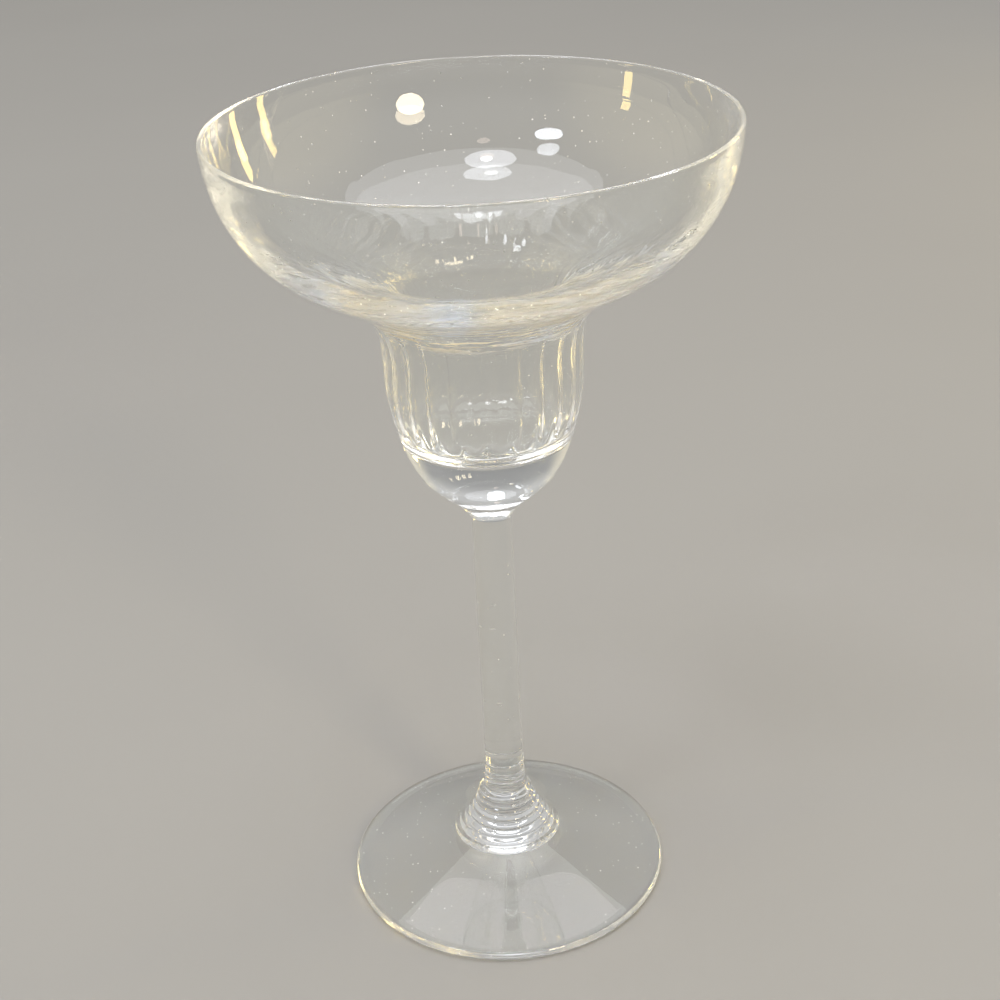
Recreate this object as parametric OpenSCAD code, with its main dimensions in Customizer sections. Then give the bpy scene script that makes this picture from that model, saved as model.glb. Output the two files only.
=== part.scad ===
// Margarita glass in clear glass, with its foot on the table plane.
// The origin is the centre of the foot's underside. +Z is up, and lengths are in millimetres.

/* [Wide bowl] */
// Outer diameter across the rim
rim_d = 112; // [96:1:130]
// Height from the turn of the underside up to the rim
upper_h = 30.4; // [26:0.2:38]
// Diameter at the turn of the underside, between the fold and the wide bowl
turn_d = 76.4; // [70:0.2:82]
// Slope of the underside at that turn, in degrees above the horizontal
turn_slope = 27; // [20:0.5:34]
// Thickness of the rounded lip
lip_t = 1; // [0.8:0.1:2]
// Wall a short way below the lip
upper_wall = 1.5; // [0.9:0.1:2]
// Wall in the middle of the wide bowl's side
side_wall = 2; // [1.4:0.1:3.2]
// Wall at the turn of the underside
turn_wall = 3; // [2:0.1:4.4]

/* [Fold and cup] */
// Height of the fold, from the cup's widest ring up to the turn of the underside
fold_h = 24.4; // [20:0.2:30]
// Wall in the middle of the fold, where the glass is gathered
fold_wall = 3.2; // [2:0.1:4.2]
// Outer diameter of the cup at its widest ring
cup_d = 44.3; // [38:0.1:50]
// Height of the cup, from its seat up to its widest ring
cup_h = 32; // [28:0.5:40]
// Wall at the cup's widest ring
cup_wall = 2.4; // [1.6:0.1:3]
// Outer diameter at the cup's lower shoulder
shoulder_d = 30.4; // [26:0.2:34]
// Height of that shoulder above the seat
shoulder_h = 6.6; // [5:0.1:9]
// Slope of the outside at the shoulder, in degrees above the horizontal
shoulder_slope = 53.5; // [46:0.5:62]
// Thickness of the solid base under the middle of the cup's floor
base_t = 13.5; // [8:0.5:16]
// Height of the rounded corner between the floor and the wall
floor_corner_h = 6; // [4:0.5:9]
// Wall just above that corner
corner_wall = 2; // [1.4:0.1:3]

/* [Optic flutes] */
// Number of shallow flutes round the inside of the cup
flute_count = 24; // [12:1:28]
// Depth of a flute in the middle of its length
flute_depth = 0.35; // [0.15:0.05:0.5]
// Radius of a flute's cross-section
flute_r = 4.6; // [3:0.1:5.5]
// Radius of the long curve that a flute follows
flute_run_r = 46; // [36:1:54]
// Height of the middle of a flute above the cup's seat
flute_mid_h = 30.5; // [27:0.5:33]

/* [Collar] */
// Diameter of the seat between the collar and the cup
seat_d = 16.4; // [13:0.1:19]
// Height of the collar
collar_h = 5; // [3:0.1:8]

/* [Stem] */
// Length of the plain stem
stem_h = 67.6; // [40:0.1:100]
// Diameter at the top of the stem
stem_top_d = 9.2; // [7:0.1:11]
// Diameter at the foot of the stem
stem_low_d = 9.4; // [7:0.1:11]

/* [Ringed knop] */
// Height of the stack of rings
ring_stack_h = 12; // [8:0.1:18]
// Number of rings
ring_count = 8; // [5:1:10]
// How far each ring stands out of the groove beside it
ring_relief = 0.35; // [0.2:0.05:0.8]
// Diameter of the knop where it is fused to the foot
knop_low_d = 26.2; // [22:0.1:30]
// Diameter at the top of the stack of rings
knop_top_d = 12.2; // [11.6:0.1:15]
// Height of the plain neck above the rings
knop_neck_h = 8.4; // [4:0.1:14]
// Height of the small hollow curve between the rings and the neck
knop_fillet_h = 2.2; // [1:0.1:3]
// Diameter of the neck just above that curve
knop_neck_d = 10.4; // [9.6:0.1:11.4]

/* [Foot] */
// Diameter of the foot
foot_d = 77.6; // [66:0.2:92]
// Height of the foot at the seat of the knop
foot_h = 11; // [9:0.1:15]
// Thickness of the foot's rounded edge
foot_edge_t = 2.5; // [2:0.1:4]
// Height of the hollow under the middle of the foot
hollow_h = 7.4; // [3:0.1:7.5]
// Width of the flat ring that the glass stands on
rest_ring_w = 2; // [1.5:0.1:6]

/* [Hidden] */

$fn = 96;
// Steps along a long curve, a short curve and a small round edge
long_steps = 20;
short_steps = 9;
edge_steps = 8;

// Heights of the seats above the table
rings_top_z = foot_h + ring_stack_h;
stem_z = rings_top_z + knop_neck_h;
collar_z = stem_z + stem_h;
bowl_z = collar_z + collar_h;
shoulder_z = bowl_z + shoulder_h;
cup_widest_z = bowl_z + cup_h;
turn_z = cup_widest_z + fold_h;
rim_z = turn_z + upper_h;

// Slopes of an outline in degrees: straight up, level towards the axis, and the collar's flare at its seat
upright = 90;
level_inwards = 180;
seat_slope = 40;

// Pull of each curve's two ends, as shares of the height that the curve spans
seat_curve_shares = [0.31, 0.32];
shoulder_curve_shares = [0.28, 0.225];
fold_curve_shares = [0.45, 0.78];
upper_curve_shares = [0.525, 0.265];

// Where the wall is stated, as shares of the height of the fold and of the wide bowl
fold_middle_share = 0.62;
side_wall_share = 0.45;
upper_wall_share = 0.8;
wall_by_height = [
    [bowl_z + base_t + floor_corner_h, corner_wall],
    [cup_widest_z, cup_wall],
    [cup_widest_z + fold_h * fold_middle_share, fold_wall],
    [turn_z, turn_wall],
    [turn_z + upper_h * side_wall_share, side_wall],
    [turn_z + upper_h * upper_wall_share, upper_wall],
    [rim_z - lip_t, lip_t]
];

// The point at a length along a slope
function along(slope, length) = [length * cos(slope), length * sin(slope)];

// A smooth curve from one point and slope to another, where the pulls are how far it holds each slope
function curve(start, start_slope, start_pull, end, end_slope, end_pull, steps) = [
    for (i = [0:steps])
        let (t = i / steps, u = 1 - t)
        let (leave = start + along(start_slope, start_pull))
        let (arrive = end - along(end_slope, end_pull))
        u * u * u * start + 3 * u * u * t * leave + 3 * u * t * t * arrive + t * t * t * end
];

// An outline without its last point, where the next stretch starts
function but_last(points) = [for (i = [0:len(points) - 2]) points[i]];

// An outline the other way round
function reversed(points) = [for (i = [len(points) - 1:-1:0]) points[i]];

// The direction of an outline at one of its points
function direction(points, i) =
    let (a = points[max(i - 1, 0)], b = points[min(i + 1, len(points) - 1)], d = b - a)
    d / norm(d);

// The inside of a wall, as far in from the outline as the wall is thick at that height
function inside(points) = [
    for (i = [0:len(points) - 1])
        let (d = direction(points, i), wall = lookup(points[i].y, wall_by_height))
        points[i] + wall * [-d.y, d.x]
];

// Outside of the bowl, from its seat up to the lip
seat_point = [seat_d / 2, bowl_z];
shoulder_point = [shoulder_d / 2, shoulder_z];
cup_widest_point = [cup_d / 2, cup_widest_z];
turn_point = [turn_d / 2, turn_z];
lip_point = [rim_d / 2, rim_z - lip_t / 2];
cup_upper_h = cup_widest_z - shoulder_z;

cup_outline = concat(
    but_last(curve(seat_point, seat_slope, seat_curve_shares[0] * shoulder_h,
        shoulder_point, shoulder_slope, seat_curve_shares[1] * shoulder_h, short_steps)),
    but_last(curve(shoulder_point, shoulder_slope, shoulder_curve_shares[0] * cup_upper_h,
        cup_widest_point, upright, shoulder_curve_shares[1] * cup_upper_h, long_steps)));
wide_outline = concat(
    but_last(curve(cup_widest_point, upright, fold_curve_shares[0] * fold_h,
        turn_point, turn_slope, fold_curve_shares[1] * fold_h, long_steps)),
    curve(turn_point, turn_slope, upper_curve_shares[0] * upper_h,
        lip_point, upright, upper_curve_shares[1] * upper_h, long_steps));
bowl_outline = concat(cup_outline, wide_outline);

// The lip is a half circle over the top of the wall
lip_outline = [
    for (i = [1:edge_steps - 1])
        lip_point - [lip_t / 2, 0] + along(180 * i / edge_steps, lip_t / 2)
];

// Inside of the bowl, from the lip down to the corner, then the dished floor to the axis
floor_z = bowl_z + base_t;
corner_z = floor_z + floor_corner_h;
floor_reach_share = 0.72;
corner_pull_share = 0.55;
inside_wall = [for (p = inside(bowl_outline)) if (p.y > corner_z) p];
corner_slope = atan2(inside_wall[1].y - inside_wall[0].y, inside_wall[1].x - inside_wall[0].x);
floor_outline = but_last(curve([0, floor_z], 0, floor_reach_share * inside_wall[0].x,
    inside_wall[0], corner_slope, corner_pull_share * floor_corner_h, short_steps));

// Radius of the cup's inside at the middle of a flute
flute_z = bowl_z + flute_mid_h;
flute_wall_r = lookup(flute_z, [for (p = inside_wall) if (p.y < turn_z) [p.y, p.x]]);
// How much of its long curve a flute uses, in degrees
flute_sweep = 36;

module flute() {
    translate([flute_wall_r + flute_depth - flute_run_r, 0, flute_z])
        rotate([90, 0, 0])
            rotate([0, 0, -flute_sweep / 2])
                rotate_extrude(angle = flute_sweep)
                    translate([flute_run_r - flute_r, 0])
                        circle(r = flute_r);
}

module bowl() {
    color("lightcyan", 0.45)
        difference() {
            rotate_extrude()
                polygon(concat([[0, bowl_z]], bowl_outline, lip_outline,
                    reversed(inside_wall), reversed(floor_outline)));
            for (i = [0:flute_count - 1])
                rotate([0, 0, 360 * i / flute_count])
                    flute();
        }
}

// The collar's side is a hollow curve from the stem out to the seat
collar_curve_shares = [0.14, 0.22];
collar_outline = curve([stem_top_d / 2, collar_z], upright, collar_curve_shares[0] * collar_h,
    seat_point, seat_slope, collar_curve_shares[1] * collar_h, short_steps);

module collar() {
    color("paleturquoise", 0.6)
        rotate_extrude()
            polygon(concat([[0, collar_z]], collar_outline, [[0, bowl_z]]));
}

module stem() {
    color("aliceblue", 0.5)
        translate([0, 0, stem_z])
            cylinder(h = stem_h, d1 = stem_low_d, d2 = stem_top_d);
}

// The rings follow a flare that is steep at the top and spreads towards the foot
ring_pitch = ring_stack_h / ring_count;
flare_spread = 1.6;
function flare_r(z) =
    let (share = (rings_top_z - z) / ring_stack_h)
    (knop_top_d + (knop_low_d - knop_top_d) * pow(share, flare_spread)) / 2;

// One ring is a half-round bead that swells out of the flare and comes back to it
function ring_outline(i) = [
    for (k = [0:edge_steps - 1])
        let (z = foot_h + (i + k / edge_steps) * ring_pitch)
        [flare_r(z) + ring_relief * sin(180 * k / edge_steps), z]
];
rings_outline = [for (i = [0:ring_count - 1]) each ring_outline(i)];
knop_fillet_slope = 130;
knop_fillet_pull_share = 0.5;
knop_fillet_pull = knop_fillet_pull_share * knop_fillet_h;
knop_fillet_outline = curve([knop_top_d / 2, rings_top_z], knop_fillet_slope, knop_fillet_pull,
    [knop_neck_d / 2, rings_top_z + knop_fillet_h], upright, knop_fillet_pull, short_steps);

module ringed_knop() {
    color("azure", 0.6)
        rotate_extrude()
            polygon(concat([[0, foot_h]], rings_outline, knop_fillet_outline,
                [[stem_low_d / 2, stem_z], [0, stem_z]]));
}

// The foot is a shallow cone on top, a rounded edge, a flat ring to stand on and a domed hollow below
foot_edge_r = foot_edge_t / 2;
foot_edge_centre = [foot_d / 2 - foot_edge_r, foot_edge_r];
foot_span = foot_edge_centre.x - knop_low_d / 2;
// Its slope at the knop and at the edge, as shares of the slope of a straight cone, and how far each is held
foot_cone_slope = atan2(foot_edge_t - foot_h, foot_span);
foot_slope_shares = [1.25, 0.75];
foot_pull_share = 0.3;
foot_seat_slope = foot_cone_slope * foot_slope_shares[0];
foot_rim_slope = foot_cone_slope * foot_slope_shares[1];
foot_top_outline = curve([knop_low_d / 2, foot_h], foot_seat_slope, foot_pull_share * foot_span,
    foot_edge_centre + along(upright + foot_rim_slope, foot_edge_r), foot_rim_slope,
    foot_pull_share * foot_span, long_steps);
foot_edge_turn = upright + foot_rim_slope;
foot_edge_outline = [
    for (i = [1:edge_steps])
        foot_edge_centre + along(foot_edge_turn - (foot_edge_turn + upright) * i / edge_steps, foot_edge_r)
];
// The hollow rises from the flat ring and levels out at the axis
hollow_r = foot_edge_centre.x - rest_ring_w;
hollow_rim_slope = 163;
hollow_curve_shares = [0.35, 0.4];
hollow_outline = curve([hollow_r, 0], hollow_rim_slope, hollow_curve_shares[0] * hollow_r,
    [0, hollow_h], level_inwards, hollow_curve_shares[1] * hollow_r, long_steps);

module foot() {
    color("lightcyan", 0.5)
        rotate_extrude()
            polygon(concat(foot_top_outline, foot_edge_outline, hollow_outline, [[0, foot_h]]));
}

foot();
ringed_knop();
stem();
collar();
bowl();
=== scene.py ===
"""The look of a clear stemmed margarita glass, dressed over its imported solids.

Lengths are in millimetres in every class and become metres only where a mesh, a lamp or the camera is made.
The glass stands on the table plane at the origin, with +Z up along its stem.
"""

import logging
import math
from dataclasses import dataclass, field
from enum import Enum
from typing import Callable, Sequence

import bpy
from mathutils import Matrix, Vector


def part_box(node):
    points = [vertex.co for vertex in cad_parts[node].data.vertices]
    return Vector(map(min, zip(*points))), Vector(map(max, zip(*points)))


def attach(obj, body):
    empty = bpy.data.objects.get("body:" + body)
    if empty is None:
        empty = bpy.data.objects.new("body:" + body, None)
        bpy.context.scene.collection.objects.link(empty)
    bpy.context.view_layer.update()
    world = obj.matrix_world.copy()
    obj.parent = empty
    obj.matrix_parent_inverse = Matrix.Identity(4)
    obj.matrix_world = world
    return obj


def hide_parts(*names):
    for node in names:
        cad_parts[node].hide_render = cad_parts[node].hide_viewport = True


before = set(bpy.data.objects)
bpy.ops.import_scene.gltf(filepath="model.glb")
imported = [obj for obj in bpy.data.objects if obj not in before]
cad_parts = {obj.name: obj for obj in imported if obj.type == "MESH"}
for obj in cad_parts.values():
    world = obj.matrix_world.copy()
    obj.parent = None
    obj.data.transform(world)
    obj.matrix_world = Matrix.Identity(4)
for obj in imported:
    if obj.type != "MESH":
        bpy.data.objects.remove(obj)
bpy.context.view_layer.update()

LOG = logging.getLogger("margarita_glass")
MM = 0.001

# Slopes and angles in degrees, and a whole turn in radians
UPRIGHT = 90.0
LEVEL_INWARDS = 180.0
HALF_TURN = 180.0
ROUND = 2.0 * math.pi

# Corners this close are one corner, and a face this close to a seat's level is on it, both in millimetres
WELD = 0.001
SEAT_REACH = 0.01
# A face is level where its normal points this much up or down
LEVEL_FACE = 0.999

# Settings that several nodes share
EASED = {"interpolation_type": "SMOOTHSTEP"}
TIMES = {"operation": "MULTIPLY"}
MIXED_COLOURS = {"data_type": "RGBA"}

Point = tuple[float, float]
Colour = tuple[float, float, float, float]
Tree = bpy.types.NodeTree
Socket = bpy.types.NodeSocket


class Seat(Enum):
    """The levels where one gather of glass is fused to the next, named for the CAD node that ends there."""

    FOOT = "foot"
    KNOP = "ringed_knop"
    STEM = "stem"
    COLLAR = "collar"
    BOWL = "bowl"

    @property
    def low(self) -> float:
        """Lowest level of the node, in millimetres."""
        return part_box(self.value)[0].z / MM

    @property
    def top(self) -> float:
        """Highest level of the node, in millimetres."""
        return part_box(self.value)[1].z / MM


class Part(Enum):
    """The two kinds of surface on a piece of glass."""

    SKIN = 0
    FUSED = 1


def along(slope: float, length: float) -> Point:
    """Gives the step of a length along a slope in degrees."""
    return length * math.cos(math.radians(slope)), length * math.sin(math.radians(slope))


def sweep(start: Point, leave: tuple[float, float], end: Point, arrive: tuple[float, float],
          steps: int) -> list[Point]:
    """Draws a smooth curve between two points of an outline.

    Args:
        start: First point, as radius and height.
        leave: Slope in degrees at the start, and how far it is held.
        end: Last point.
        arrive: Slope in degrees at the end, and how far it is held.
        steps: Number of steps along the curve.

    Returns:
        The points from start to end.
    """
    out, back = along(*leave), along(*arrive)
    near = (start[0] + out[0], start[1] + out[1])
    far = (end[0] - back[0], end[1] - back[1])
    points = []
    for step in range(steps + 1):
        t = step / steps
        u = 1.0 - t
        weights = (u * u * u, 3.0 * u * u * t, 3.0 * u * t * t, t * t * t)
        corners = (start, near, far, end)
        points.append(tuple(sum(w * c[axis] for w, c in zip(weights, corners)) for axis in (0, 1)))
    return points


def lookup(where: float, table: Sequence[Point]) -> float:
    """Reads a value between the rows of a table.

    Args:
        where: The place to read at.
        table: Rows of place and value, in rising order of place.

    Returns:
        The value there, eased smoothly from row to row.
    """
    if where <= table[0][0]:
        return table[0][1]
    for (low, value), (high, following) in zip(table, table[1:]):
        if where <= high:
            share = (where - low) / (high - low)
            return value + (following - value) * share * share * (3.0 - 2.0 * share)
    return table[-1][1]


def flowing(where: float, table: Sequence[Point]) -> float:
    """Reads a value between the rows of a table, with no kink or pause at any row.

    Args:
        where: The place to read at.
        table: Rows of place and value, in rising order of place.

    Returns:
        The value there, on a smooth curve through the rows.
    """
    where = min(max(where, table[0][0]), table[-1][0])
    last = len(table) - 1
    row = max(i for i in range(last) if table[i][0] <= where)
    ends = []
    for i in (row, row + 1):
        before, after = table[max(i - 1, 0)], table[min(i + 1, last)]
        ends.append((after[1] - before[1]) / (after[0] - before[0]))
    (low, value), (high, following) = table[row], table[row + 1]
    span = high - low
    t = (where - low) / span
    u = 1.0 - t
    return (u * u * (1.0 + 2.0 * t) * value + t * t * (1.0 + 2.0 * u) * following
            + span * t * u * (u * ends[0] - t * ends[1]))


def linear(code: str) -> Colour:
    """Turns a hex colour as the screen shows it into the linear colour that a shader takes.

    Args:
        code: Six hex digits.

    Returns:
        Red, green, blue and an alpha of one.
    """
    shown = [int(code[i:i + 2], 16) / 255.0 for i in (0, 2, 4)]
    light = [c / 12.92 if c <= 0.04045 else ((c + 0.055) / 1.055) ** 2.4 for c in shown]
    return light[0], light[1], light[2], 1.0


def clear_selection() -> None:
    """Leaves edit mode and deselects everything."""
    if bpy.context.object and bpy.context.object.mode != "OBJECT":
        bpy.ops.object.mode_set(mode="OBJECT")
    bpy.ops.object.select_all(action="DESELECT")


def pick(piece: bpy.types.Object) -> None:
    """Makes one object the only selected and the active one."""
    clear_selection()
    piece.select_set(True)
    bpy.context.view_layer.objects.active = piece


def draw_outline(name: str, points: Sequence[Point]) -> bpy.types.Object:
    """Draws half of a section as a chain of edges in the plane of X and Z.

    Args:
        name: Name of the new piece.
        points: Radius and height of each corner, from the axis round to the axis.

    Returns:
        The piece, which holds the chain alone.
    """
    clear_selection()
    first = Vector((points[0][0] * MM, 0.0, points[0][1] * MM))
    bpy.ops.mesh.primitive_plane_add(size=MM, location=(0.0, 0.0, 0.0))
    piece = bpy.context.object
    piece.name = name
    piece.data.name = name
    bpy.ops.object.mode_set(mode="EDIT")
    bpy.ops.mesh.select_all(action="SELECT")
    bpy.ops.mesh.merge(type="CENTER")
    bpy.ops.transform.translate(value=first)
    here = first
    for radius, height in points[1:]:
        there = Vector((radius * MM, 0.0, height * MM))
        bpy.ops.mesh.extrude_region_move(TRANSFORM_OT_translate={"value": there - here})
        here = there
    return piece


def spin_round(piece: bpy.types.Object, segments: int) -> None:
    """Spins a drawn outline round the axis into a closed body.

    Args:
        piece: The outline, which is in edit mode.
        segments: Number of columns round the axis.
    """
    bpy.ops.mesh.select_all(action="SELECT")
    bpy.ops.mesh.spin(steps=segments, angle=ROUND, center=(0.0, 0.0, 0.0), axis=(0.0, 0.0, 1.0))
    bpy.ops.mesh.select_all(action="SELECT")
    bpy.ops.mesh.remove_doubles(threshold=WELD * MM)
    bpy.ops.mesh.normals_make_consistent(inside=False)
    bpy.ops.mesh.select_all(action="DESELECT")
    bpy.ops.object.mode_set(mode="OBJECT")


def turn(name: str, points: Sequence[Point], segments: int) -> bpy.types.Object:
    """Turns an outline into a body, as on a lathe.

    Args:
        name: Name of the piece.
        points: Half of its section, from the axis round to the axis.
        segments: Number of columns round the axis.

    Returns:
        The closed body.
    """
    piece = draw_outline(name, points)
    spin_round(piece, segments)
    return piece


def displace(piece: bpy.types.Object, label: str, depth: float, weight: Callable[[Vector], float],
             grain: float | None = None) -> None:
    """Presses a pattern into a body along its surface normals, and applies it.

    Args:
        piece: The body.
        label: What the pattern is.
        depth: How far the surface moves outwards where the weight is one, in millimetres. With a grain, this
            is the height from trough to crest.
        weight: Gives the share of the depth at a point in millimetres.
        grain: Size of one ripple of an uneven surface, in millimetres. Without it the weight alone counts.
    """
    pick(piece)
    group = piece.vertex_groups.new(name=label)
    for vertex in piece.data.vertices:
        share = weight(vertex.co / MM)
        if share > 0.0:
            group.add([vertex.index], min(share, 1.0), "REPLACE")
    press = piece.modifiers.new(label, "DISPLACE")
    press.direction = "NORMAL"
    press.mid_level = 0.0
    press.strength = depth * MM
    press.vertex_group = group.name
    if grain is not None:
        clouds = bpy.data.textures.new(label, "CLOUDS")
        clouds.noise_scale = grain * MM
        clouds.noise_depth = 1
        press.texture = clouds
        press.texture_coords = "LOCAL"
        press.mid_level = 0.5
    bpy.ops.object.modifier_apply(modifier=press.name)
    piece.vertex_groups.clear()


def smooth(piece: bpy.types.Object, crease: float = 40.0) -> None:
    """Shades a body smooth, with its corners left sharp.

    Args:
        piece: The body.
        crease: Angle in degrees past which a corner stays sharp.
    """
    pick(piece)
    bpy.ops.object.shade_smooth_by_angle(angle=math.radians(crease))


def add(tree: Tree, kind: str, settings: dict | None = None, links: dict | None = None) -> bpy.types.Node:
    """Adds one node to a tree.

    Args:
        tree: The tree that takes the node.
        kind: The node's type name.
        settings: Values by attribute name, or by input name or number.
        links: Output sockets by input name or number.

    Returns:
        The new node.
    """
    node = tree.nodes.new(kind)
    for key, value in (settings or {}).items():
        if isinstance(key, str) and hasattr(node, key):
            setattr(node, key, value)
        else:
            node.inputs[key].default_value = value
    for key, socket in (links or {}).items():
        tree.links.new(socket, node.inputs[key])
    return node


def bare_material(name: str) -> bpy.types.Material:
    """Makes a material whose tree is still empty."""
    material = bpy.data.materials.new(name)
    material.use_nodes = True
    material.node_tree.nodes.clear()
    return material


@dataclass(frozen=True)
class ChillMarksAndPaintedHighlights:
    """The fine marks that a cool mould leaves on hot glass where it folds.

    To the eye they are thin bright streaks that run round the glass. Their relief bends the light a little,
    and
    their brightness is painted highlight: a pale cool or warm colour put into the surface on their crests,
    with less transmission there. The levels are the heights where they begin, are full, begin to fade and are
    gone. The front gives the places along Y between which they weaken, so they are strongest towards -Y.
    """

    spacing: float = 1.15
    length: float = 10.0
    depth: float = 0.065
    sway: float = 2.0
    sway_spacing: float = 9.0
    fineness: float = 0.55
    crest: tuple[float, float] = (0.5, 0.57)
    # Share of the crests given painted highlight, and the pale cool and warm colours that highlight is
    # painted in
    painted_highlight_share: float = 1.0
    cool_highlight_colour: str = "EBF2FF"
    warm_highlight_colour: str = "FFF3D6"
    highlight_colour_spacing: float = 16.0
    highlight_colour_span: tuple[float, float] = (0.42, 0.58)
    front: tuple[float, float] = (-20.0, -4.0)
    back_share: float = 0.05
    levels: tuple[float, float, float, float] = (147.0, 152.0, 158.0, 165.0)

    def pattern(self, tree: Tree, place: Socket) -> Socket:
        """Draws streaks that are long round the glass and narrow up its side.

        Args:
            tree: The material's tree.
            place: The place on the piece.

        Returns:
            The height of the marks, from zero to one.
        """
        parts = add(tree, "ShaderNodeSeparateXYZ", None, {0: place})
        level = add(tree, "ShaderNodeCombineXYZ", None, {0: parts.outputs[0], 1: parts.outputs[1]})
        out = add(tree, "ShaderNodeVectorMath", {"operation": "LENGTH"}, {0: level.outputs[0]})
        rise = add(tree, "ShaderNodeMath", {"operation": "ADD"}, {0: out.outputs[1], 1: parts.outputs[2]})
        steep = add(tree, "ShaderNodeMath", {**TIMES, 1: 1.0 / (self.spacing * MM)}, {0: rise.outputs[0]})
        drift = add(tree, "ShaderNodeTexNoise", {"Scale": 1.0 / (self.sway_spacing * MM), "Detail": 1.0},
                    {"Vector": place})
        bent = add(tree, "ShaderNodeMath", {"operation": "MULTIPLY_ADD", 1: self.sway},
                   {0: drift.outputs[0], 2: steep.outputs[0]})
        span = 1.0 / (self.length * MM)
        wide = add(tree, "ShaderNodeVectorMath", {**TIMES, 1: (span, span, 0.0)}, {0: level.outputs[0]})
        up = add(tree, "ShaderNodeCombineXYZ", None, {2: bent.outputs[0]})
        ring = add(tree, "ShaderNodeVectorMath", {"operation": "ADD"}, {0: wide.outputs[0], 1: up.outputs[0]})
        return add(tree, "ShaderNodeTexNoise", {"Scale": 1.0, "Detail": 2.0, "Roughness": self.fineness},
                   {"Vector": ring.outputs[0]}).outputs[0]

    def share(self, tree: Tree, place: Socket) -> Socket:
        """Gives how strong the marks are at a place.

        Args:
            tree: The material's tree.
            place: The place on the piece.

        Returns:
            One at the fold's front, less behind, and zero away from the fold.
        """
        parts = add(tree, "ShaderNodeSeparateXYZ", None, {0: place})
        fade_in, full, fade_out, gone = (height * MM for height in self.levels)
        near, far = (reach * MM for reach in self.front)
        start = add(tree, "ShaderNodeMapRange", {**EASED, 1: fade_in, 2: full}, {0: parts.outputs[2]})
        stop = add(tree, "ShaderNodeMapRange", {**EASED, 1: fade_out, 2: gone, 3: 1.0, 4: 0.0},
                   {0: parts.outputs[2]})
        around = add(tree, "ShaderNodeMapRange", {**EASED, 1: near, 2: far, 3: 1.0, 4: self.back_share},
                     {0: parts.outputs[1]})
        zone = add(tree, "ShaderNodeMath", TIMES, {0: start.outputs[0], 1: stop.outputs[0]})
        return add(tree, "ShaderNodeMath", TIMES, {0: zone.outputs[0], 1: around.outputs[0]}).outputs[0]

    def white(self, tree: Tree, pattern: Socket, share: Socket) -> Socket:
        """Gives how much painted highlight the marks carry on their crests.

        Args:
            tree: The material's tree.
            pattern: The height of the marks.
            share: How strong they are.

        Returns:
            The share of painted highlight.
        """
        crest = add(tree, "ShaderNodeMapRange",
                    {**EASED, 1: self.crest[0], 2: self.crest[1], 3: 0.0, 4: self.painted_highlight_share}, {0: pattern})
        return add(tree, "ShaderNodeMath", TIMES, {0: crest.outputs[0], 1: share}).outputs[0]

    def tint(self, tree: Tree, place: Socket) -> Socket:
        """Gives the colour of the painted highlight on the marks, cool in some places and warm in others.

        Args:
            tree: The material's tree.
            place: The place on the piece.

        Returns:
            The colour of the painted highlight.
        """
        clouds = add(tree, "ShaderNodeTexNoise", {"Scale": 1.0 / (self.highlight_colour_spacing * MM), "Detail": 1.0},
                     {"Vector": place})
        turned = add(tree, "ShaderNodeMapRange", {1: self.highlight_colour_span[0], 2: self.highlight_colour_span[1]},
                     {0: clouds.outputs[0]})
        cool, warm = linear(self.cool_highlight_colour), linear(self.warm_highlight_colour)
        return add(tree, "ShaderNodeMix", {**MIXED_COLOURS, 6: cool, 7: warm},
                   {0: turned.outputs[0]}).outputs[2]


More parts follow.
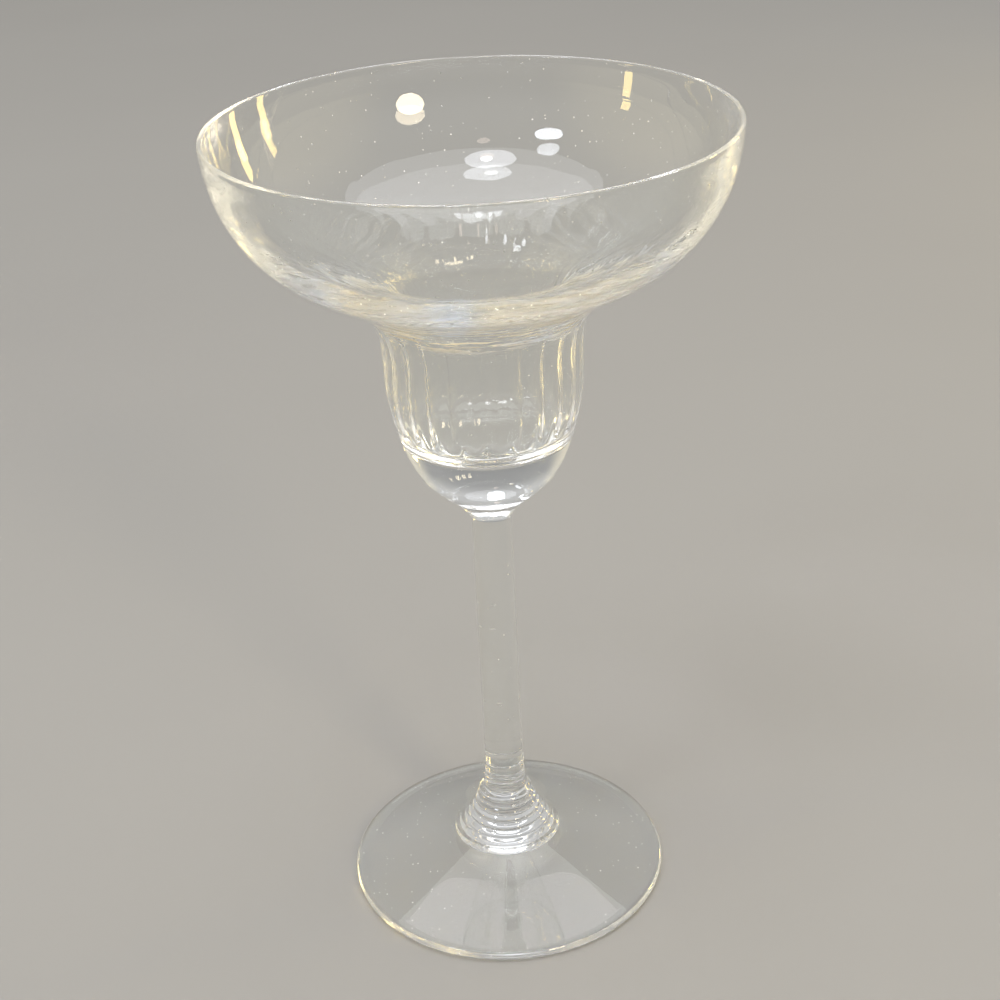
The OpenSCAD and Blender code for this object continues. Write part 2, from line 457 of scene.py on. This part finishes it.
@dataclass(frozen=True)
class ClearGlass:
    """Clear colourless soda-lime glass, worked hot and fire-polished.

    To the eye it is bright and hard, mirrors lamps sharply and has the faintest green cast in thick places.
    It carries the faint cords, lint and wiping haze of a glass that has been used. The bare share is how much
    of the surface holds no speck of lint.
    """

    name: str
    tint: str = "FDFEFD"
    dust_tint: str = "F6F4F0"
    index: float = 1.52
    polish: float = 0.004
    haze: float = 0.015
    haze_spacing: float = 22.0
    haze_fineness: float = 0.6
    haze_span: tuple[float, float] = (0.45, 0.8)
    cord_spacing: float = 5.0
    cord_depth: float = 0.004
    speck_spacing: float = 1.6
    speck_size: float = 0.2
    bare_share: float = 0.4
    speck_clearness: float = 0.1
    # Chill marks whose crests carry painted highlight; only the blown bowl has them
    marks: ChillMarksAndPaintedHighlights | None = None

    def make(self) -> bpy.types.Material:
        """Builds the material."""
        material = bare_material(self.name)
        tree = material.node_tree
        place = add(tree, "ShaderNodeTexCoord").outputs["Object"]
        specks = self.lint(tree, place)
        body, dust = linear(self.tint), linear(self.dust_tint)
        colour = add(tree, "ShaderNodeMix", {**MIXED_COLOURS, 6: body, 7: dust}, {0: specks}).outputs[2]
        clear = add(tree, "ShaderNodeMapRange", {3: 1.0, 4: self.speck_clearness}, {0: specks}).outputs[0]
        normal = self.cords(tree, place)
        if self.marks is not None:
            pattern, share = self.marks.pattern(tree, place), self.marks.share(tree, place)
            # Painted highlight: on the marks' crests the base colour turns pale cool or warm and the
            # transmission drops, so the fold shows bright streaks; the bump below is their real relief
            white = self.marks.white(tree, pattern, share)
            colour = add(tree, "ShaderNodeMix", MIXED_COLOURS,
                         {0: white, 6: colour, 7: self.marks.tint(tree, place)}).outputs[2]
            rest = add(tree, "ShaderNodeMath", {"operation": "SUBTRACT", 0: 1.0}, {1: white})
            clear = add(tree, "ShaderNodeMath", TIMES, {0: clear, 1: rest.outputs[0]}).outputs[0]
            height = add(tree, "ShaderNodeMath", TIMES, {0: pattern, 1: share})
            normal = add(tree, "ShaderNodeBump", {"Strength": 1.0, "Distance": self.marks.depth * MM},
                         {"Height": height.outputs[0], "Normal": normal}).outputs[0]
        roughness = self.wiped_haze(tree, place)
        shader = add(tree, "ShaderNodeBsdfPrincipled", {"IOR": self.index},
                     {"Base Color": colour, "Roughness": roughness, "Transmission Weight": clear,
                      "Normal": normal})
        add(tree, "ShaderNodeOutputMaterial", None, {"Surface": shader.outputs[0]})
        return material

    def lint(self, tree: Tree, place: Socket) -> Socket:
        """Scatters tiny specks of lint.

        Args:
            tree: The material's tree.
            place: The place on the piece.

        Returns:
            One on a speck and zero off it.
        """
        cells = add(tree, "ShaderNodeTexVoronoi", {"feature": "F1", "Scale": 1.0 / (self.speck_spacing * MM)},
                    {"Vector": place})
        size = self.speck_size / self.speck_spacing
        chance = add(tree, "ShaderNodeSeparateColor", None, {0: cells.outputs["Color"]})
        limit = add(tree, "ShaderNodeMapRange", {1: self.bare_share, 2: 1.0, 3: 0.0, 4: size},
                    {0: chance.outputs[0]})
        inside = add(tree, "ShaderNodeMath", {"operation": "LESS_THAN"},
                     {0: cells.outputs["Distance"], 1: limit.outputs[0]})
        return inside.outputs[0]

    def wiped_haze(self, tree: Tree, place: Socket) -> Socket:
        """Leaves soft patches where a cloth has dulled the polish a little.

        Args:
            tree: The material's tree.
            place: The place on the piece.

        Returns:
            The roughness.
        """
        scale = 1.0 / (self.haze_spacing * MM)
        patches = add(tree, "ShaderNodeTexNoise",
                      {"Scale": scale, "Detail": 4.0, "Roughness": self.haze_fineness}, {"Vector": place})
        start, full = self.haze_span
        return add(tree, "ShaderNodeMapRange", {1: start, 2: full, 3: self.polish, 4: self.haze},
                   {0: patches.outputs[0]}).outputs[0]

    def cords(self, tree: Tree, place: Socket) -> Socket:
        """Raises the faint cords of a worked glass.

        Args:
            tree: The material's tree.
            place: The place on the piece.

        Returns:
            The surface normal.
        """
        clouds = add(tree, "ShaderNodeTexNoise", {"Scale": 1.0 / (self.cord_spacing * MM), "Detail": 1.0},
                     {"Vector": place})
        return add(tree, "ShaderNodeBump", {"Strength": 1.0, "Distance": self.cord_depth * MM},
                   {"Height": clouds.outputs[0]}).outputs[0]


@dataclass(frozen=True)
class FusedSeat:
    """The seat inside the glass where two gathers became one: light passes it as if nothing were there."""

    name: str = "fused_glass_seat"

    def make(self) -> bpy.types.Material:
        """Builds the material."""
        material = bare_material(self.name)
        tree = material.node_tree
        clear = add(tree, "ShaderNodeBsdfTransparent", {"Color": (1.0, 1.0, 1.0, 1.0)})
        add(tree, "ShaderNodeOutputMaterial", None, {"Surface": clear.outputs[0]})
        return material


@dataclass(frozen=True)
class StudioTable:
    """A matt painted board, pale warm grey with the slightest mottle."""

    name: str = "matt_painted_board"
    light: str = "A2A09C"
    dark: str = "9C9A96"
    mottle: float = 260.0
    roughness: float = 0.9

    def make(self) -> bpy.types.Material:
        """Builds the material."""
        material = bare_material(self.name)
        tree = material.node_tree
        place = add(tree, "ShaderNodeTexCoord").outputs["Object"]
        clouds = add(tree, "ShaderNodeTexNoise", {"Scale": 1.0 / (self.mottle * MM), "Detail": 3.0},
                     {"Vector": place})
        colour = add(tree, "ShaderNodeMix", {**MIXED_COLOURS, 6: linear(self.dark), 7: linear(self.light)},
                     {0: clouds.outputs[0]}).outputs[2]
        shader = add(tree, "ShaderNodeBsdfPrincipled", {"Roughness": self.roughness}, {"Base Color": colour})
        add(tree, "ShaderNodeOutputMaterial", None, {"Surface": shader.outputs[0]})
        return material


def dress(piece: bpy.types.Object, skin: bpy.types.Material, fused: bpy.types.Material,
          seats: Sequence[float], node: str) -> None:
    """Gives a piece its finish, makes its fused seats clear and sets it on the frame.

    Args:
        piece: The finished body.
        skin: Material of its surface.
        fused: Material of its fused seats.
        seats: Heights of the seats, in millimetres.
        node: The CAD node that the piece stands for.
    """
    piece.data.materials.clear()
    piece.data.materials.append(skin)
    piece.data.materials.append(fused)
    for face in piece.data.polygons:
        level = abs(face.normal.z) > LEVEL_FACE
        on_seat = any(abs(face.center.z / MM - height) < SEAT_REACH for height in seats)
        face.material_index = (Part.FUSED if level and on_seat else Part.SKIN).value
    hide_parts(node)
    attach(piece, "root")
    LOG.info("%s: %d faces", piece.name, len(piece.data.polygons))


@dataclass
class Bowl:
    """The blown bowl: a wide shallow bowl folded into a narrower cup with a thick solid base.

    A pair of holds says how far a curve keeps its slope at its first and last point, as shares of its height.
    The floor's first hold is a share of the corner's radius, and its second of the corner's height.
    """

    rim_d: float = 112.0
    upper_h: float = 30.4
    turn_d: float = 76.4
    turn_slope: float = 27.0
    lip_t: float = 1.0
    upper_wall: float = 1.5
    side_wall: float = 2.0
    turn_wall: float = 3.0
    fold_h: float = 24.4
    fold_wall: float = 3.2
    cup_d: float = 44.3
    cup_h: float = 32.0
    cup_wall: float = 2.4
    shoulder_d: float = 30.4
    shoulder_h: float = 6.6
    shoulder_slope: float = 53.5
    base_t: float = 13.5
    floor_corner_h: float = 6.0
    corner_wall: float = 2.0
    seat_d: float = 16.4
    seat_slope: float = 40.0
    lower_holds: tuple[float, float] = (0.31, 0.32)
    cup_holds: tuple[float, float] = (0.28, 0.225)
    fold_holds: tuple[float, float] = (0.45, 0.78)
    wide_holds: tuple[float, float] = (0.525, 0.265)
    floor_holds: tuple[float, float] = (0.72, 0.55)
    fold_wall_at: float = 0.62
    side_wall_at: float = 0.45
    upper_wall_at: float = 0.8
    flute_count: int = 24
    flute_depth: float = 0.5
    flute_reach: float = 0.5
    flute_fade: tuple[Point, ...] = ((124.0, 0.0), (128.0, 0.85), (136.0, 1.0), (148.0, 0.9), (156.0, 0.6),
                                     (161.0, 0.3), (167.0, 0.12), (174.0, 0.06), (184.0, 0.03), (189.0, 0.0))
    seat_margin: float = 3.0
    lip_margin: tuple[float, float] = (4.0, 1.0)
    ripple_size: float = 14.0
    ripple_depth: float = 0.03
    bubble_r: float = 0.75
    bubble_place: tuple[float, float, float] = (-3.2, -5.5, 107.6)
    segments: int = 360
    seat_z: float = field(default_factory=lambda: Seat.BOWL.low)

    @property
    def widest_z(self) -> float:
        """Level of the cup's widest ring."""
        return self.seat_z + self.cup_h

    @property
    def turn_z(self) -> float:
        """Level of the turn between the fold and the wide bowl."""
        return self.widest_z + self.fold_h

    @property
    def rim_z(self) -> float:
        """Level of the rim."""
        return self.turn_z + self.upper_h

    def outside(self) -> list[Point]:
        """Draws the outside from the seat up to the lip."""
        seat = (self.seat_d / 2, self.seat_z)
        shoulder = (self.shoulder_d / 2, self.seat_z + self.shoulder_h)
        widest = (self.cup_d / 2, self.widest_z)
        turned = (self.turn_d / 2, self.turn_z)
        lip = (self.rim_d / 2, self.rim_z - self.lip_t / 2)
        cup_upper_h = self.cup_h - self.shoulder_h
        lower = sweep(seat, (self.seat_slope, self.lower_holds[0] * self.shoulder_h),
                      shoulder, (self.shoulder_slope, self.lower_holds[1] * self.shoulder_h), steps=12)
        cup = sweep(shoulder, (self.shoulder_slope, self.cup_holds[0] * cup_upper_h),
                    widest, (UPRIGHT, self.cup_holds[1] * cup_upper_h), steps=26)
        fold = sweep(widest, (UPRIGHT, self.fold_holds[0] * self.fold_h),
                     turned, (self.turn_slope, self.fold_holds[1] * self.fold_h), steps=34)
        wide = sweep(turned, (self.turn_slope, self.wide_holds[0] * self.upper_h),
                     lip, (UPRIGHT, self.wide_holds[1] * self.upper_h), steps=34)
        return lower[:-1] + cup[:-1] + fold[:-1] + wide

    def wall(self) -> list[Point]:
        """Lists the wall's thickness by height."""
        return [(self.seat_z + self.base_t + self.floor_corner_h, self.corner_wall),
                (self.widest_z, self.cup_wall),
                (self.widest_z + self.fold_wall_at * self.fold_h, self.fold_wall),
                (self.turn_z, self.turn_wall),
                (self.turn_z + self.side_wall_at * self.upper_h, self.side_wall),
                (self.turn_z + self.upper_wall_at * self.upper_h, self.upper_wall),
                (self.rim_z - self.lip_t, self.lip_t)]

    def inside(self, outside: Sequence[Point]) -> list[Point]:
        """Draws the inside wall, from just above the floor's corner up to the lip.

        Args:
            outside: The outside outline.

        Returns:
            The points, lowest first.
        """
        wall = self.wall()
        corner_z = self.seat_z + self.base_t + self.floor_corner_h
        points = []
        for i, (radius, height) in enumerate(outside):
            before = outside[max(i - 1, 0)]
            after = outside[min(i + 1, len(outside) - 1)]
            run, rise = after[0] - before[0], after[1] - before[1]
            length = math.hypot(run, rise)
            thick = flowing(height, wall)
            inner = (radius - thick * rise / length, height + thick * run / length)
            if inner[1] > corner_z:
                points.append(inner)
        return points

    def lip(self) -> list[Point]:
        """Draws the half round over the top of the wall, from outside to inside."""
        centre = (self.rim_d / 2 - self.lip_t / 2, self.rim_z - self.lip_t / 2)
        steps = 24
        points = []
        for i in range(1, steps):
            across, up = along(HALF_TURN * i / steps, self.lip_t / 2)
            points.append((centre[0] + across, centre[1] + up))
        return points

    def floor(self, corner: Point, next_up: Point) -> list[Point]:
        """Draws the dished floor from the axis out to the corner.

        Args:
            corner: Lowest point of the inside wall.
            next_up: The point above it.

        Returns:
            The points, without the corner itself.
        """
        slope = math.degrees(math.atan2(next_up[1] - corner[1], next_up[0] - corner[0]))
        centre = (0.0, self.seat_z + self.base_t)
        across, up = self.floor_holds
        dish = sweep(centre, (0.0, across * corner[0]), corner, (slope, up * self.floor_corner_h), steps=20)
        return dish[:-1]

    def outline(self) -> list[Point]:
        """Draws the whole half section."""
        outside = self.outside()
        inside = self.inside(outside)
        floor = self.floor(inside[0], inside[1])
        seat = [(self.seat_d / 2 * share, self.seat_z) for share in (0.0, 0.5)]
        return seat + outside + self.lip() + inside[::-1] + floor[::-1]

    def flute(self, place: Vector, inner: Sequence[Point]) -> float:
        """Gives the depth of the flutes inside the bowl, as a share.

        They are deepest in the cup and fade out up the wide bowl.

        Args:
            place: A point on the body, in millimetres.
            inner: Height and radius of the inside wall, lowest first.

        Returns:
            From zero to one.
        """
        radius = math.hypot(place.x, place.y)
        envelope = flowing(place.z, self.flute_fade)
        if envelope <= 0.0 or radius > lookup(place.z, inner) + self.flute_reach:
            return 0.0
        turn_share = (math.atan2(place.y, place.x) / ROUND * self.flute_count + 0.5) % 1.0
        across = abs(turn_share - 0.5) * 2.0
        return envelope * (1.0 - across ** 2)

    def away_from_seat(self, place: Vector) -> float:
        """Gives one on the free surface, and zero at the fused seat and on the lip."""
        full, none = self.lip_margin
        return lookup(place.z, [(self.seat_z, 0.0), (self.seat_z + self.seat_margin, 1.0),
                                (self.rim_z - full, 1.0), (self.rim_z - none, 0.0)])

    def bubble(self) -> bpy.types.Object:
        """Blows the tiny air bubble that is caught in the base, as a cavity with its skin facing the air."""
        clear_selection()
        bpy.ops.mesh.primitive_uv_sphere_add(segments=40, ring_count=24, radius=self.bubble_r * MM,
                                             location=Vector(self.bubble_place) * MM)
        cavity = bpy.context.object
        bpy.ops.object.mode_set(mode="EDIT")
        bpy.ops.mesh.select_all(action="SELECT")
        bpy.ops.mesh.flip_normals()
        bpy.ops.object.mode_set(mode="OBJECT")
        return cavity

    def build(self) -> bpy.types.Object:
        """Turns the bowl, presses its flutes and leaves the bubble in its base."""
        inner = [(height, radius) for radius, height in self.inside(self.outside())]
        body = turn("bowl_blown", self.outline(), self.segments)
        displace(body, "optic_flutes", -self.flute_depth, lambda place: self.flute(place, inner))
        displace(body, "blown_ripple", self.ripple_depth, self.away_from_seat, self.ripple_size)
        cavity = self.bubble()
        pick(body)
        cavity.select_set(True)
        bpy.ops.object.join()
        smooth(body)
        return body


@dataclass
class Collar:
    """The small collar that joins the cup's base to the stem. Its holds are shares of its height."""

    seat_d: float = 16.4
    stem_d: float = 9.2
    seat_slope: float = 40.0
    holds: tuple[float, float] = (0.14, 0.22)
    segments: int = 160

    def build(self) -> bpy.types.Object:
        """Turns the collar."""
        low, top = Seat.COLLAR.low, Seat.COLLAR.top
        height = top - low
        side = sweep((self.stem_d / 2, low), (UPRIGHT, self.holds[0] * height),
                     (self.seat_d / 2, top), (self.seat_slope, self.holds[1] * height), steps=20)
        seat = [(self.seat_d / 2 * share, top) for share in (0.5, 0.0)]
        body = turn("collar_merese", [(0.0, low), (self.stem_d / 4, low)] + side + seat, self.segments)
        smooth(body)
        return body


@dataclass
class Stem:
    """The plain drawn stem."""

    top_d: float = 9.2
    low_d: float = 9.4
    ripple_size: float = 9.0
    ripple_depth: float = 0.012
    seat_margin: float = 3.0
    segments: int = 160

    def build(self) -> bpy.types.Object:
        """Turns the stem, with the faint waviness of a drawn rod."""
        low, top = Seat.STEM.low, Seat.STEM.top
        steps = 70
        side = [(self.low_d / 2 + (self.top_d - self.low_d) / 2 * i / steps, low + (top - low) * i / steps)
                for i in range(steps + 1)]
        outline = [(0.0, low), (self.low_d / 4, low)] + side + [(self.top_d / 4, top), (0.0, top)]
        body = turn("stem_drawn", outline, self.segments)
        free = [(low, 0.0), (low + self.seat_margin, 1.0), (top - self.seat_margin, 1.0), (top, 0.0)]
        displace(body, "drawn_ripple", self.ripple_depth, lambda place: lookup(place.z, free),
                 self.ripple_size)
        smooth(body)
        return body


@dataclass
class RingedKnop:
    """The knop: a plain neck over a flare of turned rings."""

    ring_stack_h: float = 12.0
    ring_count: int = 8
    ring_relief: float = 0.35
    low_d: float = 26.2
    top_d: float = 12.2
    neck_d: float = 10.4
    stem_d: float = 9.4
    fillet_h: float = 2.2
    fillet_slope: float = 130.0
    fillet_hold: float = 0.5
    flare_spread: float = 1.6
    seam_h: float = 1.1
    seam_relief: float = 0.24
    crease: float = 60.0
    segments: int = 220

    def flare(self, rise: float) -> float:
        """Gives the flare's radius at a height above the foot."""
        share = (self.ring_stack_h - rise) / self.ring_stack_h
        return (self.top_d + (self.low_d - self.top_d) * share ** self.flare_spread) / 2

    def build(self) -> bpy.types.Object:
        """Turns the knop."""
        low, top = Seat.KNOP.low, Seat.KNOP.top
        pitch = self.ring_stack_h / self.ring_count
        steps = 10
        rings = []
        for i in range(self.ring_count):
            for k in range(steps):
                rise = (i + k / steps) * pitch
                bead = self.ring_relief * math.sin(math.pi * k / steps)
                rings.append((self.flare(rise) + bead, low + rise))
        rings_top = low + self.ring_stack_h
        hold = self.fillet_hold * self.fillet_h
        fillet = sweep((self.top_d / 2, rings_top), (self.fillet_slope, hold),
                       (self.neck_d / 2, rings_top + self.fillet_h), (UPRIGHT, hold), steps=12)
        neck_low, seam_low = rings_top + self.fillet_h, top - self.seam_h
        neck_steps, seam_steps = 8, 10
        heights = [neck_low + (seam_low - neck_low) * i / neck_steps for i in range(1, neck_steps + 1)]
        heights += [seam_low + self.seam_h * i / seam_steps for i in range(1, seam_steps + 1)]
        neck = []
        for height in heights:
            radius = (self.neck_d + (self.stem_d - self.neck_d) * (height - neck_low) / (top - neck_low)) / 2
            swell = math.sin(math.pi * max(height - seam_low, 0.0) / self.seam_h)
            neck.append((radius + self.seam_relief * swell, height))
        foot_seat = [(0.0, low), (self.low_d / 4, low)]
        stem_seat = [(self.stem_d / 4, top), (0.0, top)]
        body = turn("knop_ringed", foot_seat + rings + fillet + neck + stem_seat, self.segments)
        smooth(body, self.crease)
        return body


@dataclass
class Foot:
    """The wide foot: a shallow cone over a domed hollow, with a rounded edge.

    The cone's hold is a share of its width, and the hollow's holds are shares of the hollow's radius.
    """

    foot_d: float = 77.6
    knop_d: float = 26.2
    edge_t: float = 2.5
    knop_slope_share: float = 1.25
    rim_slope_share: float = 0.75
    cone_hold: float = 0.3
    hollow_h: float = 7.4
    hollow_slope: float = 163.0
    hollow_holds: tuple[float, float] = (0.35, 0.4)
    rest_ring_w: float = 2.0
    segments: int = 288

    def build(self) -> bpy.types.Object:
        """Turns the foot."""
        top = Seat.FOOT.top
        edge_r = self.edge_t / 2
        centre = (self.foot_d / 2 - edge_r, edge_r)
        span = centre[0] - self.knop_d / 2
        cone = math.degrees(math.atan2(self.edge_t - top, span))
        rim_slope = self.rim_slope_share * cone
        across, up = along(UPRIGHT + rim_slope, edge_r)
        hold = self.cone_hold * span
        upper = sweep((self.knop_d / 2, top), (self.knop_slope_share * cone, hold),
                      (centre[0] + across, centre[1] + up), (rim_slope, hold), steps=50)
        steps = 14
        edge = []
        for i in range(1, steps + 1):
            across, up = along(UPRIGHT + rim_slope - (2 * UPRIGHT + rim_slope) * i / steps, edge_r)
            edge.append((centre[0] + across, centre[1] + up))
        hollow_r = centre[0] - self.rest_ring_w
        hollow = sweep((hollow_r, 0.0), (self.hollow_slope, self.hollow_holds[0] * hollow_r),
                       (0.0, self.hollow_h), (LEVEL_INWARDS, self.hollow_holds[1] * hollow_r), steps=50)
        seat = [(self.knop_d / 2 * share, top) for share in (0.0, 0.5)]
        body = turn("foot_pressed", seat + upper + edge + hollow, self.segments)
        smooth(body)
        return body


@dataclass
class MargaritaGlass:
    """The whole glass: five gathers of clear glass, fused hot into one."""

    bowl: Bowl = field(default_factory=Bowl)
    collar: Collar = field(default_factory=Collar)
    stem: Stem = field(default_factory=Stem)
    knop: RingedKnop = field(default_factory=RingedKnop)
    foot: Foot = field(default_factory=Foot)

    def build(self) -> None:
        """Makes every piece and dresses it."""
        fused = FusedSeat().make()
        # The blown bowl's glass carries the chill marks, with painted highlight on their crests
        blown = ClearGlass("blown_soda_lime_glass", marks=ChillMarksAndPaintedHighlights()).make()
        drawn = ClearGlass("drawn_soda_lime_glass").make()
        pressed = ClearGlass("pressed_soda_lime_glass").make()
        collar_seats = [Seat.COLLAR.low, Seat.COLLAR.top]
        stem_seats = [Seat.STEM.low, Seat.STEM.top]
        knop_seats = [Seat.KNOP.low, Seat.KNOP.top]
        dress(self.bowl.build(), blown, fused, [Seat.BOWL.low], "bowl")
        dress(self.collar.build(), drawn, fused, collar_seats, "collar")
        dress(self.stem.build(), drawn, fused, stem_seats, "stem")
        dress(self.knop.build(), pressed, fused, knop_seats, "ringed_knop")
        dress(self.foot.build(), pressed, fused, [Seat.FOOT.top], "foot")


@dataclass(frozen=True)
class Lamp:
    """One soft lamp of the studio."""

    name: str
    place: tuple[float, float, float]
    aim: tuple[float, float, float]
    size: tuple[float, float]
    power: float
    colour: str
    round_shape: bool = False

    def make(self) -> None:
        """Adds the lamp."""
        clear_selection()
        bpy.ops.object.light_add(type="AREA", location=Vector(self.place) * MM)
        lamp = bpy.context.object
        lamp.name = self.name
        lamp.data.shape = "ELLIPSE" if self.round_shape else "RECTANGLE"
        lamp.data.size = self.size[0] * MM
        lamp.data.size_y = self.size[1] * MM
        lamp.data.energy = self.power
        lamp.data.color = linear(self.colour)[:3]
        lamp.rotation_mode = "QUATERNION"
        lamp.rotation_quaternion = (Vector(self.aim) - Vector(self.place)).to_track_quat("-Z", "Y")
        lamp.visible_camera = False


@dataclass
class Studio:
    """The pale table, the soft lamps, the surroundings and the camera.

    The room's greys are given by height, from the horizon at zero to straight up at one. The side glow is the
    colour of a light, a little brighter than white.
    """

    camera_place: tuple[float, float, float] = (0.0, -351.3, 286.0)
    pan: float = 0.0061
    tilt: float = 0.4809
    roll: float = 0.0493
    lens: float = 62.44
    sensor: float = 36.0
    near_clip: float = 10.0
    table_r: float = 4000.0
    table_segments: int = 96
    table_gap: float = 0.05
    room_greys: tuple[Point, ...] = ((0.0, 0.3), (0.15, 0.34), (0.4, 0.6), (0.9, 0.42))
    side_glow: Colour = (1.08, 0.99, 0.76, 1.0)
    glow_span: tuple[float, float] = (0.55, 0.97)
    glass_bounces: int = 96
    clear_bounces: int = 32
    table_bounces: int = 4

    def camera(self) -> None:
        """Sets the camera where the photograph was taken from."""
        clear_selection()
        bpy.ops.object.camera_add(location=Vector(self.camera_place) * MM)
        camera = bpy.context.object
        camera.name = "camera"
        camera.data.lens = self.lens
        camera.data.sensor_width = self.sensor
        camera.data.sensor_fit = "HORIZONTAL"
        camera.data.clip_start = self.near_clip * MM
        ahead = Vector((math.sin(self.pan) * math.cos(self.tilt), math.cos(self.pan) * math.cos(self.tilt),
                        -math.sin(self.tilt)))
        right = Vector((math.cos(self.pan), -math.sin(self.pan), 0.0))
        down = ahead.cross(right)
        turned = math.cos(self.roll) * right + math.sin(self.roll) * down
        lowered = math.cos(self.roll) * down - math.sin(self.roll) * right
        axes = Matrix((turned, -lowered, -ahead)).transposed()
        camera.rotation_mode = "QUATERNION"
        camera.rotation_quaternion = axes.to_quaternion()
        bpy.context.scene.camera = camera

    def table(self) -> None:
        """Lays the plain pale table."""
        clear_selection()
        bpy.ops.mesh.primitive_circle_add(vertices=self.table_segments, radius=self.table_r * MM,
                                          fill_type="NGON", location=(0.0, 0.0, -self.table_gap * MM))
        board = bpy.context.object
        board.name = "table"
        board.data.materials.append(StudioTable().make())

    def surroundings(self) -> None:
        """Sets a plain pale room, brightest well above the table, with a soft warm glow at both sides."""
        world = bpy.data.worlds.new("plain_room")
        bpy.context.scene.world = world
        world.use_nodes = True
        tree = world.node_tree
        tree.nodes.clear()
        place = add(tree, "ShaderNodeTexCoord").outputs["Generated"]
        parts = add(tree, "ShaderNodeSeparateXYZ", None, {0: place})
        ramp = add(tree, "ShaderNodeValToRGB", None, {0: parts.outputs[2]})
        stops = ramp.color_ramp.elements
        for position, grey in self.room_greys:
            stop = stops[0] if position == 0.0 else stops.new(position)
            stop.color = (grey, grey, grey, 1.0)
        stops.remove(stops[len(stops) - 1])
        aside = add(tree, "ShaderNodeMath", {"operation": "ABSOLUTE"}, {0: parts.outputs[0]})
        glow = add(tree, "ShaderNodeMapRange", {**EASED, 1: self.glow_span[0], 2: self.glow_span[1]},
                   {0: aside.outputs[0]})
        lit = add(tree, "ShaderNodeMix", {**MIXED_COLOURS, 7: self.side_glow},
                  {0: glow.outputs[0], 6: ramp.outputs[0]})
        back = add(tree, "ShaderNodeBackground", {"Strength": 1.0}, {"Color": lit.outputs[2]})
        add(tree, "ShaderNodeOutputWorld", None, {"Surface": back.outputs[0]})

    def lamps(self) -> None:
        """Hangs the soft lamps."""
        middle = (0.0, 0.0, 170.0)
        for lamp in (
            Lamp("ceiling_soft", (0.0, 300.0, 2300.0), middle, (2800.0, 2800.0), 30.0, "F6F8FF", True),
            Lamp("warm_round", (464.0, -806.0, 555.0), middle, (238.0, 238.0), 2.9, "FFEECF", True),
            Lamp("cool_round", (-535.0, -455.0, 955.0), middle, (200.0, 200.0), 1.5, "F2F6FF", True),
            Lamp("halo_round", (-87.0, -211.0, 1111.0), middle, (280.0, 280.0), 1.35, "F4F7FF", True),
            Lamp("halo_heart", (-87.0, -211.0, 1100.0), middle, (75.0, 75.0), 0.28, "FFFFFF", True),
            Lamp("small_round", (-84.0, -490.0, 1011.0), middle, (90.0, 90.0), 0.08, "FFE9DC", True),
            Lamp("gold_tall", (874.0, 302.0, 165.0), middle, (75.0, 320.0), 1.1, "FFE08A"),
            Lamp("gold_low", (689.0, 627.0, 110.0), middle, (85.0, 220.0), 0.8, "FFE08A"),
            Lamp("gold_left", (-962.0, -197.0, 282.0), middle, (75.0, 170.0), 0.55, "FFE08A"),
        ):
            lamp.make()

    def light_paths(self) -> None:
        """Lets light pass through all the walls of the glass, and shows colours as they are."""
        scene = bpy.context.scene
        scene.cycles.max_bounces = self.glass_bounces
        scene.cycles.transmission_bounces = self.glass_bounces
        scene.cycles.glossy_bounces = self.glass_bounces
        scene.cycles.diffuse_bounces = self.table_bounces
        scene.cycles.transparent_max_bounces = self.clear_bounces
        scene.cycles.use_denoising = True
        scene.cycles.caustics_refractive = True
        scene.cycles.caustics_reflective = True
        scene.cycles.blur_glossy = 0.0
        scene.view_settings.view_transform = "Standard"

    def build(self) -> None:
        """Sets up the whole studio."""
        self.camera()
        self.table()
        self.surroundings()
        self.lamps()
        self.light_paths()


def main() -> None:
    """Builds the studio and the glass."""
    logging.basicConfig(level=logging.INFO, format="%(name)s: %(message)s")
    Studio().build()
    MargaritaGlass().build()
    clear_selection()


if __name__ == "__main__":
    main()
